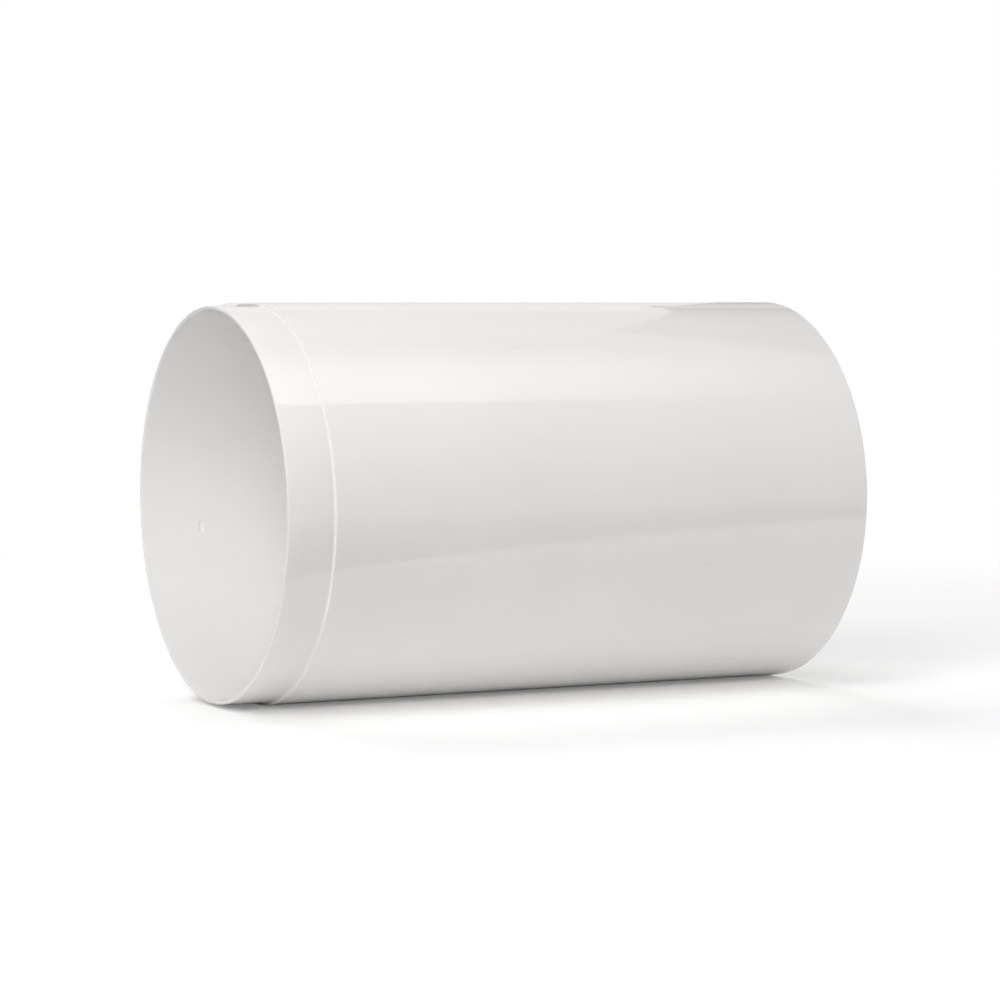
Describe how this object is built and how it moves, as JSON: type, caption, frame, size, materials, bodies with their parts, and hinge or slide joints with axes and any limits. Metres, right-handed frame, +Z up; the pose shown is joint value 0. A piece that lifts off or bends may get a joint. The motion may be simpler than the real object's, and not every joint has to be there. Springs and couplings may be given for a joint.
{
  "type": "wall duct sleeve",
  "caption": "Round one-piece wall duct sleeve in glossy white plastic, with a plain bore, a reduced spigot behind a shoulder at its mouth and a raised locating lug.",
  "frame": {"origin": "centre of the tube, on its axis at half its length", "axes": "+X along the bore from the spigot's mouth to the plain tail, +Z up through the locating lug"},
  "size_m": [0.2, 0.125, 0.125],
  "materials": {
    "white_plastic": "glossy moulded white plastic"
  },
  "bodies": {
    "root": {"duct_sleeve": "white_plastic"}
  },
  "joints": []
}
